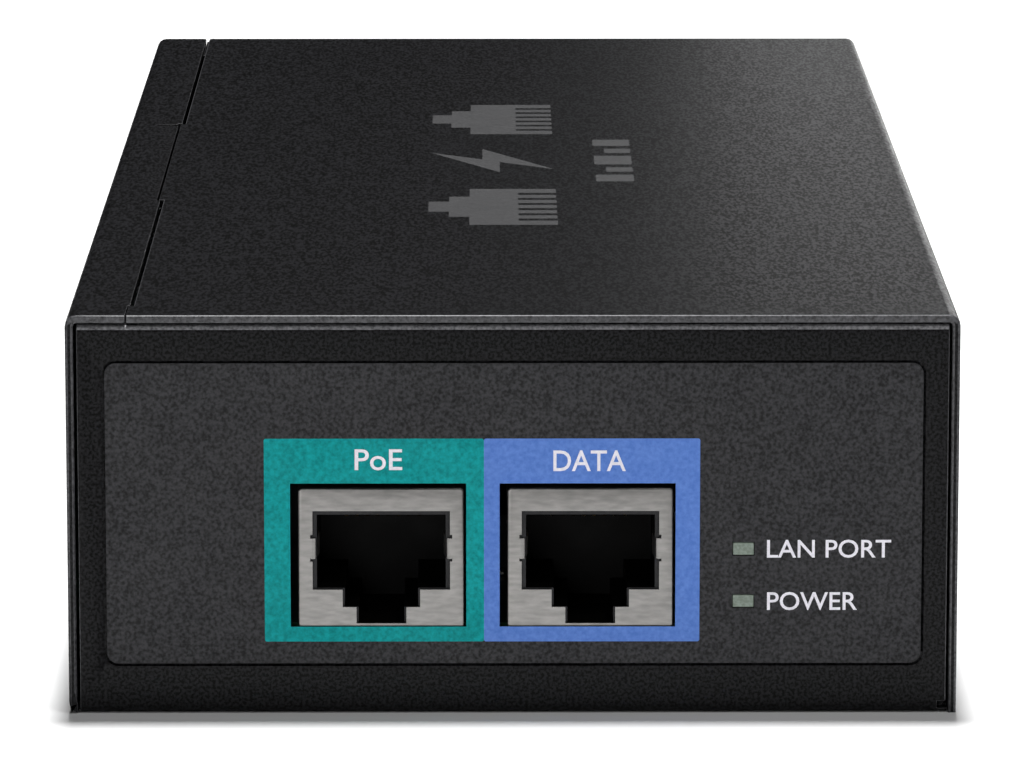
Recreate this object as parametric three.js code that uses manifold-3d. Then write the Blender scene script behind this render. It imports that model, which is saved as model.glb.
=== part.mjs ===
// A mains-fed PoE injector in a folded steel case: two shielded RJ45 jacks and two indicator
// lamps at the front, a mains inlet at the back, and the power supply board between them.
// Millimetres, +Z up. The origin is the middle of the footprint, and the jacks face -Y.
import * as THREE from "three";
import { mergeVertices } from "three/addons/utils/BufferGeometryUtils.js";
import Module from "manifold-3d";

const wasm = await Module();
wasm.setup();

// ---- Driving dimensions -------------------------------------------------------------------

// Case
const WIDTH = 86;
const DEPTH = 190;
const HEIGHT = 39.2;
const SHEET = 0.8;
const LEFT_GAP = 0.3; // slot between the end panels and the case's own wall
const RIGHT_GAP = 0.25; // slot between the end panels and the cover's wall
const BEND = SHEET + LEFT_GAP; // outside radius of the long folds
const PANEL_BEND = 0.85; // outside radius of an end panel's folds
const TOP_GAP = 0.1; // slot between the end panels and the top sheet
const RETURN = 6; // depth of the fold along an end panel's top
const CORNER = { lip: 0.42, lipRight: 42.12, notchLeft: 41.1, notchHigh: 1.15 }; // lower right of a panel
const RELIEF = BEND + 0.4; // how far the long folds stop short of the end panels
const FLANGE_TOP = 10; // height of the inner flange that takes the cover screws

const LEFT = -WIDTH / 2;
const RIGHT = WIDTH / 2;
const FRONT = -DEPTH / 2;
const BACK = DEPTH / 2;
const PANEL_LEFT = LEFT + SHEET + LEFT_GAP;
const PANEL_RIGHT = RIGHT - SHEET - RIGHT_GAP;
const PANEL_TOP = HEIGHT - SHEET - TOP_GAP;
const SKIN = SHEET / 2; // from a sheet's face to its middle

// Seam along the left of the top: the case's strip ends here and the cover begins
const STRIP_EDGE = LEFT + 6;
const STRIP_NOTCH = 0.42; // extra cut of the strip beside the cover's tongue
const SEAM_GAP = 0.4;
const SEAM_TIGHT = 0.15;
const SEAM_HEAD = 5.4; // length of the tight stretch at the front
const LEDGE = { long: 12, high: 0.4 }; // lower half of the cover's edge, left on at the back
const SEAM_CORNER = 0.6; // chamfer of the strip and the cover where the seam runs out
const PRESS = { wide: 3, deep: 0.28 }; // dip of the strip's edge over the tongue
const TONGUE_FROM = FRONT + 68;
const TONGUE_TO = FRONT + 120.5;
const TONGUE_REACH = 4.4; // how far the tongue runs under the strip

// Front label and its pressed pocket
const LABEL = { x: 0.12, z: 19.73, width: 78.75, height: 29.6, radius: 1.1, thick: 0.18 };
const POCKET_GAP = 0.25;
const POCKET_DEEP = 0.25;

// Jacks
const JACKS = { poe: -12.7, data: 7.5 };
const JACK = { width: 16.14, height: 13.7, depth: 17.5, shell: 0.25, lift: 0.3 };
const JACK_SETBACK = 0.3;
const WINDOW = { shift: -0.28, width: 16.98, low: 8.58, high: 22.72 };
const FIT = 0.05; // between a jack's shield and its housing
const PORT = { half: 6.63, low: 3.6, high: 11.33, stepHalf: 3.73, step: 1.87, slotHalf: 2.4, slot: 0.3 };
const CAVITY_INSET = 0.43;
const CAVITY_DEEP = 12.8;
const CONTACT = { count: 8, pitch: 1.016, wire: 0.35, root: 2.6, rootZ: 12.55, knee: 10.3, kneeZ: 8.8 };
const CONTACT_TIP = { y: 11.6, z: 9.15 };
const COMB = { half: 4.7, from: 2.1, high: 13.0 };

// Indicator lamps
const LAMP = { x: 22.27, width: 2.05, height: 1.25, long: 3.6 };
const LAMP_HEIGHTS = { lan: 16.25, power: 11.09 };
const LAMP_PLAY = 0.05;
const LAMP_HOLE_PLAY = 0.35;
const LAMP_PROUD = 0.1; // from the case's front plane back to the lens
const HOLDER = { width: 4.9, from: 1.1, depth: 7, high: 19 };

// Circuit board and what holds it
const BOARD = { half: 40.4, front: FRONT + 3, back: BACK - 3.8, low: 6.7, thick: 1.6 };
const BOARD_TOP = BOARD.low + BOARD.thick;
const SEAT = 0.05; // parts stand this far off the board
const POST_X = 35;
const POST_FRONT = FRONT + 15;
const POST_BACK = BACK - 17;
const POST = { across: 5, shank: 2.1, bore: 1.35, clear: 0.05 };
const FILM = { half: 38.5, end: 88, low: 0.85, thick: 0.3, hole: 3.4 };

// Mains inlet
const INLET = { x: -14, z: 18.4, width: 27.2, height: 19.6, chamfer: 5, back: 22.5, play: 0.15 };
const INLET_CAVITY = { width: 24, height: 16, chamfer: 4.2, deep: 16.5 };
const INLET_FLANGE = { width: 49, height: 21.6, thick: 2.4, pitch: 40 };
const PIN = { wide: 2, high: 4, pitch: 7, earth: 2, recess: 3.2, tail: 3, play: 0.05 };

// Screws: countersunk head, shank
const FLAT_SCREW = { head: 2.6, deep: 0.85, shank: 1.3, long: 4.4 };
const PAN_SCREW = { head: 2.7, high: 1.9, shank: 1.25, long: 5.2 };
const SCREW_PLAY = 0.15;
const COVER_SCREW_Z = 4.2;
const COVER_SCREW_YS = [-70, 0, 70];

// Cooling slots in both side walls
const SLOTS = { count: 14, pitch: 6, width: 2.2, low: 14, high: 29, middle: 30 };

// ---- Solids --------------------------------------------------------------------------------

/** Turns a closed geometry into a manifold solid. */
function solidOf(geometry) {
  const plain = new THREE.BufferGeometry();
  plain.setAttribute("position", geometry.getAttribute("position"));
  plain.setIndex(geometry.getIndex());
  const merged = mergeVertices(plain, 1e-4);
  const faces = [];
  for (let i = 0; i < merged.index.count; i += 3) {
    const face = [0, 1, 2].map((k) => merged.index.getX(i + k));
    if (new Set(face).size === 3) faces.push(...face);
  }
  return new wasm.Manifold(
    new wasm.Mesh({
      numProp: 3,
      vertProperties: new Float32Array(merged.getAttribute("position").array),
      triVerts: new Uint32Array(faces),
    }),
  );
}

/** Turns a manifold solid back into a geometry for a mesh. */
function geometryOf(solid) {
  const mesh = solid.getMesh();
  const geometry = new THREE.BufferGeometry();
  geometry.setAttribute("position", new THREE.BufferAttribute(mesh.vertProperties, 3));
  geometry.setIndex(new THREE.BufferAttribute(mesh.triVerts, 1));
  const faceted = geometry.toNonIndexed();
  faceted.computeVertexNormals();
  return faceted;
}

const joined = (solids) => solids.reduce((sum, solid) => sum.add(solid));

/** A box between two corners. */
function box([x0, y0, z0], [x1, y1, z1]) {
  const geometry = new THREE.BoxGeometry(x1 - x0, y1 - y0, z1 - z0);
  geometry.translate((x0 + x1) / 2, (y0 + y1) / 2, (z0 + z1) / 2);
  return solidOf(geometry);
}

const AXES = {
  x: [new THREE.Vector3(0, 1, 0), new THREE.Vector3(0, 0, 1), new THREE.Vector3(1, 0, 0)],
  y: [new THREE.Vector3(1, 0, 0), new THREE.Vector3(0, 0, 1), new THREE.Vector3(0, -1, 0)],
  z: [new THREE.Vector3(1, 0, 0), new THREE.Vector3(0, 1, 0), new THREE.Vector3(0, 0, 1)],
};

/** Extrudes an outline along an axis; the outline is drawn in the other two axes, in order. */
function prism(shape, axis, from, to, curveSegments = 3) {
  const depth = to - from;
  const geometry = new THREE.ExtrudeGeometry(shape, { depth, curveSegments, bevelEnabled: false });
  geometry.applyMatrix4(new THREE.Matrix4().makeBasis(...AXES[axis]));
  geometry.translate(...{ x: [from, 0, 0], y: [0, to, 0], z: [0, 0, from] }[axis]);
  return solidOf(geometry);
}

/** Revolves [radius, height] points around +Z. */
function turned(profile, segments = 16) {
  const points = profile.map(([radius, height]) => new THREE.Vector2(radius, height));
  return solidOf(new THREE.LatheGeometry(points, segments).rotateX(Math.PI / 2));
}

/** An outline from its corner points. */
function polygon(points) {
  return new THREE.Shape(points.map(([u, v]) => new THREE.Vector2(u, v)));
}

/** A rectangle with round corners about a middle point. */
function roundRect(u, v, width, height, radius) {
  const shape = new THREE.Shape();
  const corners = [[1, -1], [1, 1], [-1, 1], [-1, -1]];
  corners.forEach(([su, sv], i) => {
    const start = (i - 1) * (Math.PI / 2);
    const cu = u + su * (width / 2 - radius);
    const cv = v + sv * (height / 2 - radius);
    shape.absarc(cu, cv, radius, start, start + Math.PI / 2, false);
  });
  return shape;
}

/** The section of a folded sheet that follows a middle line, with round folds. */
function foldedSheet(path, thick = SHEET, outside = BEND, steps = 4) {
  const points = path.map(([u, v]) => new THREE.Vector2(u, v));
  const radius = outside - thick / 2;
  const legs = points.slice(1).map((p, i) => p.clone().sub(points[i]).normalize());
  const normal = (leg) => new THREE.Vector2(-leg.y, leg.x);
  const line = [{ at: points[0], out: normal(legs[0]) }];
  for (let i = 1; i < legs.length; i++) {
    const turn = Math.atan2(legs[i - 1].cross(legs[i]), legs[i - 1].dot(legs[i]));
    const side = Math.sign(turn);
    const start = points[i].clone().addScaledVector(legs[i - 1], -radius * Math.tan(Math.abs(turn) / 2));
    const centre = start.clone().addScaledVector(normal(legs[i - 1]), side * radius);
    for (let k = 0; k <= steps; k++) {
      const out = normal(legs[i - 1]).rotateAround(new THREE.Vector2(), (turn * k) / steps);
      line.push({ at: centre.clone().addScaledVector(out, -side * radius), out });
    }
  }
  line.push({ at: points.at(-1), out: normal(legs.at(-1)) });
  const edge = (side) => line.map(({ at, out }) => at.clone().addScaledVector(out, (side * thick) / 2));
  return new THREE.Shape([...edge(1), ...edge(-1).reverse()]);
}

// ---- Scene graph ---------------------------------------------------------------------------

const FINISHES = {
  powderCoat: { color: 0x232325, roughness: 0.65, metalness: 0.2 },
  labelFilm: { color: 0x333335, roughness: 0.6, metalness: 0 },
  nickel: { color: 0x9a9a9a, roughness: 0.35, metalness: 1 },
  gold: { color: 0xd4a83a, roughness: 0.3, metalness: 1 },
  blackPlastic: { color: 0x151516, roughness: 0.5, metalness: 0 },
  lens: { color: 0x6b776c, roughness: 0.3, metalness: 0 },
  zincSteel: { color: 0xb4b6b8, roughness: 0.35, metalness: 1 },
  blackSteel: { color: 0x2a2a2c, roughness: 0.4, metalness: 0.9 },
  boardGreen: { color: 0x1c5a34, roughness: 0.45, metalness: 0 },
  film: { color: 0xd8d2b4, roughness: 0.4, metalness: 0 },
  aluminium: { color: 0xb8babd, roughness: 0.4, metalness: 1 },
  ferrite: { color: 0x3a3a3c, roughness: 0.7, metalness: 0.1 },
  tape: { color: 0xd9b93c, roughness: 0.5, metalness: 0 },
  copper: { color: 0xb0672f, roughness: 0.35, metalness: 1 },
  boxYellow: { color: 0xe3c234, roughness: 0.4, metalness: 0 },
  sleeve: { color: 0x22252e, roughness: 0.35, metalness: 0 },
  epoxy: { color: 0x1b1b1c, roughness: 0.55, metalness: 0 },
  fuseGlass: { color: 0xcdd5d2, roughness: 0.1, metalness: 0 },
};

/** Adds one named piece to a group. */
function add(group, name, solid, finish, position = [0, 0, 0], rotation = [0, 0, 0]) {
  const material = new THREE.MeshStandardMaterial(FINISHES[finish]);
  const mesh = new THREE.Mesh(geometryOf(solid), material);
  mesh.name = name;
  mesh.position.set(...position);
  mesh.rotation.set(...rotation);
  group.add(mesh);
}

/** Adds a named group at a place. */
function addGroup(parent, name, position = [0, 0, 0]) {
  const group = new THREE.Group();
  group.name = name;
  group.position.set(...position);
  parent.add(group);
  return group;
}

// ---- Screws --------------------------------------------------------------------------------

/** Countersunk screw, head face at z = 0 and shank down. */
function flatScrew() {
  const { head, deep, shank, long } = FLAT_SCREW;
  return turned([[0, -long], [shank, -long], [shank, -deep], [head, 0], [0, 0]]);
}

/** The countersunk hole for that screw, open above z = 0. */
function flatScrewHole() {
  const { head, deep, shank, long } = FLAT_SCREW;
  return turned([
    [0, -long - SCREW_PLAY],
    [shank + SCREW_PLAY, -long - SCREW_PLAY],
    [shank + SCREW_PLAY, -deep],
    [head + SCREW_PLAY, 0],
    [head + SCREW_PLAY, 1],
    [0, 1],
  ]);
}

/** Pan-head screw, seated at z = 0. */
function panScrew() {
  const { head, high, shank, long } = PAN_SCREW;
  return turned([
    [0, -long],
    [shank, -long],
    [shank, 0],
    [head, 0],
    [head, high * 0.5],
    [head * 0.75, high * 0.9],
    [0, high],
  ]);
}

// ---- Case ----------------------------------------------------------------------------------

/** A front or back panel with its top fold, joined to the floor; end is -1 or +1. */
function endPanel(end) {
  const depth = (inset) => end * (DEPTH / 2 - inset);
  const outline = foldedSheet([
    [depth(RETURN), SKIN],
    [depth(SKIN), SKIN],
    [depth(SKIN), PANEL_TOP - SKIN],
    [depth(RETURN), PANEL_TOP - SKIN],
  ], SHEET, PANEL_BEND);
  const { lip, lipRight, notchLeft, notchHigh } = CORNER;
  return prism(outline, "x", PANEL_LEFT, lipRight)
    .subtract(box([PANEL_RIGHT, -DEPTH, lip], [RIGHT, DEPTH, HEIGHT]))
    .subtract(box([notchLeft, -DEPTH, lip], [RIGHT, DEPTH, notchHigh]))
    .subtract(box([PANEL_RIGHT - BEND, RELIEF - DEPTH / 2, -1], [RIGHT, DEPTH / 2 - RELIEF, BEND]));
}

/** Round-ended upright slots through a side wall. */
function coolingSlots(x) {
  const slots = [];
  for (let i = 0; i < SLOTS.count; i++) {
    const y = SLOTS.middle + (i - (SLOTS.count - 1) / 2) * SLOTS.pitch;
    const height = SLOTS.high - SLOTS.low;
    const outline = roundRect(y, SLOTS.low + height / 2, SLOTS.width, height, SLOTS.width / 2 - 0.25);
    slots.push(prism(outline, "x", x - 1, x + 1, 2));
  }
  return joined(slots);
}

/** The openings of the front panel and its label: jack windows and lamp holes. */
function frontOpenings(grow, lampPlay) {
  const cuts = Object.values(JACKS).map((x) => {
    const middle = x + WINDOW.shift;
    const half = WINDOW.width / 2 + grow;
    return box([middle - half, FRONT - 1, WINDOW.low - grow], [middle + half, FRONT + 2, WINDOW.high + grow]);
  });
  for (const z of Object.values(LAMP_HEIGHTS)) {
    const half = LAMP.width / 2 + lampPlay;
    const rise = LAMP.height / 2 + lampPlay;
    cuts.push(box([LAMP.x - half, FRONT - 1, z - rise], [LAMP.x + half, FRONT + 2, z + rise]));
  }
  return joined(cuts);
}

const POSTS = [
  [-POST_X, POST_FRONT],
  [POST_X, POST_FRONT],
  [-POST_X, POST_BACK],
  [POST_X, POST_BACK],
];

/** The inlet's outline, with the two cut corners at the top. */
function inletOutline(width, height, chamfer) {
  const w = width / 2;
  const h = height / 2;
  const { x, z } = INLET;
  return polygon([
    [x - w, z - h],
    [x + w, z - h],
    [x + w, z + h - chamfer],
    [x + w - chamfer, z + h],
    [x - w + chamfer, z + h],
    [x - w, z + h - chamfer],
  ]);
}

/** Chamfers both sheets where the seam runs out at the back; side is -1 for the strip, +1 for the cover. */
function seamCorner(edge, side) {
  const outline = polygon([
    [edge + side * SEAM_CORNER, BACK + 0.1],
    [edge - side * 0.1, BACK + 0.1],
    [edge - side * 0.1, BACK - SEAM_CORNER],
    [edge, BACK - SEAM_CORNER],
  ]);
  return prism(outline, "z", HEIGHT - 1, HEIGHT + 1);
}

/** What is taken off the strip's edge: the tight head, the step beside the tongue and the dip over it. */
function stripCuts() {
  const head = box([STRIP_EDGE - SEAM_TIGHT - 0.08, FRONT - 1, HEIGHT - 1],
    [STRIP_EDGE + 1, FRONT + SEAM_HEAD, HEIGHT + 1]);
  const step = box([STRIP_EDGE - STRIP_NOTCH, TONGUE_FROM - 0.5, HEIGHT - 2],
    [STRIP_EDGE + 1, TONGUE_TO + 0.5, HEIGHT + 1]);
  const dip = prism(polygon([
    [STRIP_EDGE - PRESS.wide, HEIGHT],
    [STRIP_EDGE, HEIGHT - PRESS.deep],
    [STRIP_EDGE, HEIGHT + 1],
    [STRIP_EDGE - PRESS.wide, HEIGHT + 1],
  ]), "y", TONGUE_FROM, TONGUE_TO);
  return [head, step, dip, seamCorner(STRIP_EDGE, -1)];
}

/** Floor, left wall, top strip, inner flange and both end panels, folded from one sheet. */
function chassisPan() {
  const flangeX = PANEL_RIGHT - SKIN;
  const wrap = foldedSheet([
    [flangeX, FLANGE_TOP],
    [flangeX, SKIN],
    [LEFT + SKIN, SKIN],
    [LEFT + SKIN, HEIGHT - SKIN],
    [STRIP_EDGE, HEIGHT - SKIN],
  ]);
  let pan = prism(wrap, "y", FRONT, BACK);
  for (const end of [-1, 1]) {
    const ys = [end * (DEPTH / 2 + 1), end * (DEPTH / 2 - RELIEF)].sort((a, b) => a - b);
    pan = pan.subtract(box([LEFT + SHEET + 0.05, ys[0], -1], [RIGHT, ys[1], FLANGE_TOP + 1]));
    pan = pan.add(endPanel(end));
  }
  for (const solid of stripCuts()) pan = pan.subtract(solid);
  const pocket = roundRect(LABEL.x, LABEL.z, LABEL.width + 2 * POCKET_GAP,
    LABEL.height + 2 * POCKET_GAP, LABEL.radius + POCKET_GAP);
  pan = pan.subtract(prism(pocket, "y", FRONT - 1, FRONT + POCKET_DEEP));
  pan = pan.subtract(frontOpenings(0.1, LAMP_HOLE_PLAY));
  pan = pan.subtract(coolingSlots(LEFT));
  const mouth = inletOutline(INLET.width + 2 * INLET.play, INLET.height + 2 * INLET.play, INLET.chamfer);
  pan = pan.subtract(prism(mouth, "y", BACK - 2, BACK + 1));
  for (const [x, y] of POSTS) {
    const hole = turned([[0, -1], [POST.shank + POST.clear, -1], [POST.shank + POST.clear, 2], [0, 2]]);
    pan = pan.subtract(hole.translate([x, y, 0]));
  }
  const screwHole = flatScrewHole();
  for (const y of COVER_SCREW_YS) {
    pan = pan.subtract(screwHole.rotate([0, 90, 0]).translate([RIGHT, y, COVER_SCREW_Z]));
  }
  for (const side of [-1, 1]) {
    const x = INLET.x + (side * INLET_FLANGE.pitch) / 2;
    pan = pan.subtract(screwHole.rotate([-90, 0, 0]).translate([x, BACK, INLET.z]));
  }
  return pan;
}

/** Top sheet and right wall in one fold, with a joggled tongue that hooks under the strip. */
function topCover() {
  const edge = STRIP_EDGE - 0.08;
  const wrap = foldedSheet([
    [edge, HEIGHT - SKIN],
    [RIGHT - SKIN, HEIGHT - SKIN],
    [RIGHT - SKIN, 0],
  ]);
  const wide = STRIP_EDGE + SEAM_GAP;
  const ledgeFrom = BACK - LEDGE.long;
  let cover = prism(wrap, "y", FRONT, BACK)
    .subtract(box([edge - 1, FRONT + SEAM_HEAD, HEIGHT - 2], [wide, TONGUE_FROM, HEIGHT + 1]))
    .subtract(box([edge - 1, TONGUE_TO, HEIGHT - 2], [wide, ledgeFrom, HEIGHT + 1]))
    .subtract(box([edge - 1, ledgeFrom - 0.1, HEIGHT - LEDGE.high], [wide, BACK + 1, HEIGHT + 1]))
    .subtract(box([edge - 1, ledgeFrom - 0.1, HEIGHT - 2], [STRIP_EDGE + 0.1, BACK + 1, HEIGHT + 1]))
    .subtract(seamCorner(wide, 1));
  const drop = HEIGHT - 2 * SHEET - 0.45;
  const tongue = foldedSheet([
    [STRIP_EDGE - TONGUE_REACH, drop + SKIN],
    [STRIP_EDGE + 0.9, drop + SKIN],
    [STRIP_EDGE + 2.4, HEIGHT - SKIN],
    [STRIP_EDGE + 5, HEIGHT - SKIN],
  ], SHEET, 1, 1);
  cover = cover.add(prism(tongue, "y", TONGUE_FROM + 2, TONGUE_TO - 2));
  cover = cover.subtract(coolingSlots(RIGHT));
  for (const y of COVER_SCREW_YS) {
    cover = cover.subtract(flatScrewHole().rotate([0, 90, 0]).translate([RIGHT, y, COVER_SCREW_Z]));
  }
  return cover;
}

/** The film that fills the front pocket. */
function frontLabel() {
  const outline = roundRect(LABEL.x, LABEL.z, LABEL.width, LABEL.height, LABEL.radius);
  const back = FRONT + POCKET_DEEP - 0.02;
  return prism(outline, "y", back - LABEL.thick, back).subtract(frontOpenings(0, LAMP_PLAY));
}

// ---- Jacks, drawn about the middle of the board's front edge under each jack ----------------

/** The stepped mouth of a jack, latch side down. */
function portOutline(inset) {
  const half = PORT.half - inset;
  const step = PORT.stepHalf - inset / 2;
  const slot = PORT.slotHalf - inset / 2;
  const low = PORT.low + inset / 3;
  const side = [[half, PORT.high - inset], [half, low], [step, low], [step, PORT.step], [slot, PORT.step]];
  const right = [...side, [slot, PORT.slot]];
  return polygon([...right, ...right.map(([u, v]) => [-u, v]).reverse()]);
}

function jackShield() {
  const { width, height, depth, shell } = JACK;
  const outer = box([-width / 2, 0, 0], [width / 2, depth, height]);
  const inner = box([-width / 2 + shell, shell, -1], [width / 2 - shell, depth - shell, height - shell]);
  return outer.subtract(inner).subtract(prism(portOutline(0), "y", -1, 1));
}

function jackHousing() {
  const { width, height, depth, shell, lift } = JACK;
  const wall = shell + FIT;
  const half = width / 2 - wall;
  const block = box([-half, wall, SEAT - lift], [half, depth - wall, height - wall]);
  const cavity = prism(portOutline(CAVITY_INSET), "y", -1, CAVITY_DEEP);
  const comb = box([-COMB.half, COMB.from, PORT.high - 2], [COMB.half, CAVITY_DEEP, COMB.high]);
  const sill = box([-width, -1, -1], [width, SHEET - JACK_SETBACK + 0.1, 0]);
  return block.subtract(cavity).subtract(comb).subtract(sill);
}

/** One sprung contact: it leaves its root at the top and slopes back and down to its knee. */
function jackContact() {
  const { wire, root, rootZ, knee, kneeZ } = CONTACT;
  const path = [[root, rootZ - SEAT], [knee, kneeZ], [CONTACT_TIP.y, CONTACT_TIP.z]];
  const outline = foldedSheet(path, wire, 0.6, 2);
  return prism(outline, "x", -wire / 2, wire / 2);
}

/** Shield, housing and the row of contacts of one jack. */
function addJack(parent, name, x) {
  const jack = addGroup(parent, `${name}_jack`, [x, FRONT + JACK_SETBACK, BOARD_TOP + JACK.lift]);
  add(jack, `${name}_jack_shield`, jackShield(), "nickel");
  add(jack, `${name}_jack_housing`, jackHousing(), "blackPlastic");
  for (let i = 0; i < CONTACT.count; i++) {
    const offset = (i - (CONTACT.count - 1) / 2) * CONTACT.pitch;
    add(jack, `${name}_contact_${i + 1}`, jackContact(), "gold", [offset, 0, 0]);
  }
}

// ---- Indicator lamps -----------------------------------------------------------------------

function addLamps(parent) {
  const front = FRONT + HOLDER.from;
  let holder = box([LAMP.x - HOLDER.width / 2, front, BOARD_TOP + SEAT],
    [LAMP.x + HOLDER.width / 2, front + HOLDER.depth, HOLDER.high]);
  const lampBack = FRONT + LAMP_PROUD + LAMP.long;
  for (const [name, z] of Object.entries(LAMP_HEIGHTS)) {
    const half = LAMP.width / 2;
    const rise = LAMP.height / 2;
    const lamp = box([LAMP.x - half, FRONT + LAMP_PROUD, z - rise], [LAMP.x + half, lampBack, z + rise]);
    add(parent, `${name}_lamp`, lamp, "lens");
    holder = holder.subtract(box([LAMP.x - half - FIT, FRONT, z - rise - FIT],
      [LAMP.x + half + FIT, lampBack + FIT, z + rise + FIT]));
  }
  add(parent, "lamp_holder", holder, "blackPlastic");
}

// ---- Mains inlet ---------------------------------------------------------------------------

function inletPins() {
  const { pitch, earth } = PIN;
  return { line: [-pitch, -earth], earth: [0, earth], neutral: [pitch, -earth] };
}

/** A flat blade that turns down behind the housing into the board. */
function inletPin(x, z) {
  const [low, high] = [INLET.z + z - PIN.high / 2, INLET.z + z + PIN.high / 2];
  const mid = INLET.x + x;
  const rear = BACK - INLET.back;
  const blade = box([mid - PIN.wide / 2, rear - PIN.tail, low], [mid + PIN.wide / 2, BACK - PIN.recess, high]);
  const tail = box([mid - PIN.wide / 2, rear - PIN.tail, BOARD_TOP + SEAT],
    [mid + PIN.wide / 2, rear - PIN.tail + PIN.wide, high]);
  return blade.add(tail);
}

function inletHousing() {
  const outline = inletOutline(INLET.width, INLET.height, INLET.chamfer);
  const { x, z } = INLET;
  const plate = roundRect(x, z, INLET_FLANGE.width, INLET_FLANGE.height, 3);
  const plateFront = BACK - SHEET - FIT;
  const cavity = inletOutline(INLET_CAVITY.width, INLET_CAVITY.height, INLET_CAVITY.chamfer);
  let housing = prism(outline, "y", BACK - INLET.back, BACK - FIT)
    .add(prism(plate, "y", plateFront - INLET_FLANGE.thick, plateFront))
    .subtract(prism(cavity, "y", BACK - INLET_CAVITY.deep, BACK + 1));
  for (const [px, pz] of Object.values(inletPins())) {
    const w = PIN.wide / 2 + PIN.play;
    const h = PIN.high / 2 + PIN.play;
    housing = housing.subtract(box([x + px - w, BACK - INLET.back - 1, z + pz - h],
      [x + px + w, BACK, z + pz + h]));
  }
  for (const side of [-1, 1]) {
    const hole = flatScrewHole().rotate([-90, 0, 0]);
    housing = housing.subtract(hole.translate([x + (side * INLET_FLANGE.pitch) / 2, BACK, z]));
  }
  return housing;
}

function addInlet(parent) {
  const inlet = addGroup(parent, "mains_inlet");
  add(inlet, "inlet_housing", inletHousing(), "blackPlastic");
  for (const [name, [x, z]] of Object.entries(inletPins())) {
    add(inlet, `inlet_pin_${name}`, inletPin(x, z), "nickel");
  }
  [-1, 1].forEach((side, i) => {
    const place = [INLET.x + (side * INLET_FLANGE.pitch) / 2, BACK - FIT, INLET.z];
    add(inlet, `inlet_screw_${i + 1}`, flatScrew(), "blackSteel", place, [-Math.PI / 2, 0, 0]);
  });
}

// ---- Board and its fixings -----------------------------------------------------------------

function addBoard(parent) {
  const drill = (radius, low, high) => turned([[0, low], [radius, low], [radius, high], [0, high]]);
  let board = box([-BOARD.half, BOARD.front, BOARD.low], [BOARD.half, BOARD.back, BOARD_TOP]);
  let film = box([-FILM.half, -FILM.end, FILM.low], [FILM.half, FILM.end, FILM.low + FILM.thick]);
  POSTS.forEach(([x, y], i) => {
    board = board.subtract(drill(PAN_SCREW.shank + 0.3, 0, HEIGHT).translate([x, y, 0]));
    film = film.subtract(drill(FILM.hole, 0, HEIGHT).translate([x, y, 0]));
    const flats = turned([[0, SHEET + FIT], [POST.across / Math.sqrt(3), SHEET + FIT],
      [POST.across / Math.sqrt(3), BOARD.low - FIT], [0, BOARD.low - FIT]], 6);
    const post = flats.add(drill(POST.shank, 0.1, SHEET + 1)).subtract(drill(POST.bore, 2, HEIGHT));
    add(parent, `standoff_${i + 1}`, post, "zincSteel", [x, y, 0]);
    add(parent, `board_screw_${i + 1}`, panScrew(), "zincSteel", [x, y, BOARD_TOP + SEAT]);
  });
  add(parent, "main_board", board, "boardGreen");
  add(parent, "insulating_film", film, "film");
}

// ---- Power supply parts, each drawn about its own foot and stood on the board ---------------

/** An upright can capacitor with a rolled rim. */
function canCapacitor(radius, height) {
  const rim = 0.8;
  return turned([
    [0, 0],
    [radius - rim / 2, 0],
    [radius, rim / 2],
    [radius, 2.2],
    [radius - 0.35, 2.8],
    [radius, 3.4],
    [radius, height - rim],
    [radius - rim, height],
    [0, height],
  ], 24);
}

/** A glass fuse in two clips. */
function fuse() {
  const [radius, cap, long, rise] = [2.3, 2.65, 20, 4.6];
  const barrel = turned([
    [0, 0],
    [cap, 0],
    [cap, 5],
    [radius, 5],
    [radius, long - 5],
    [cap, long - 5],
    [cap, long],
    [0, long],
  ]).rotate([-90, 0, 0]).translate([0, -long / 2, rise]);
  const clip = (y) => box([-2, y - 1.5, 0], [2, y + 1.5, rise]);
  return joined([barrel, clip(-long / 2 + 2.5), clip(long / 2 - 2.5)]);
}

/** A ring choke standing on its moulded foot. */
function lineChoke() {
  const [outer, inner, thick, foot] = [9.6, 4.4, 9, 2];
  const edge = 1.2;
  const ring = turned([
    [inner, edge],
    [inner + edge, 0],
    [outer - edge, 0],
    [outer, edge],
    [outer, thick - edge],
    [outer - edge, thick],
    [inner + edge, thick],
    [inner, thick - edge],
    [inner, edge],
  ], 24).rotate([-90, 0, 0]).translate([0, -thick / 2, foot + outer - 0.8]);
  return ring.add(box([-8, -thick / 2 - 1, 0], [8, thick / 2 + 1, foot + 0.4]));
}

/** A flat package on edge, on a row of leads; the row runs along X. */
function leadedPackage({ width, thick, height, leads, pitch, lift, tab = 0 }) {
  let body = box([-width / 2, -thick / 2, lift], [width / 2, thick / 2, lift + height]);
  if (tab) {
    body = body.add(box([-width / 2, thick / 2 - 1.3, lift], [width / 2, thick / 2, lift + height + tab]));
  }
  for (let i = 0; i < leads; i++) {
    const x = (i - (leads - 1) / 2) * pitch;
    body = body.add(box([x - 0.45, -0.3, 0], [x + 0.45, 0.3, lift + 1]));
  }
  return body;
}

/** An upright plate with cooling fins on its far side; the plate runs along Y. */
function heatSink(long, height) {
  const [plate, fin, finThick, fins] = [2, 3, 1.2, 7];
  let sink = box([0, -long / 2, 0], [plate, long / 2, height]);
  for (let i = 0; i < fins; i++) {
    const y = -long / 2 + finThick / 2 + (i * (long - finThick)) / (fins - 1);
    sink = sink.add(box([plate - 0.1, y - finThick / 2, 3], [plate + fin, y + finThick / 2, height]));
  }
  return sink;
}

const CORE = { width: 30, thick: 11, height: 25, leg: 5, middle: 9, lift: 1.2 };

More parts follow.
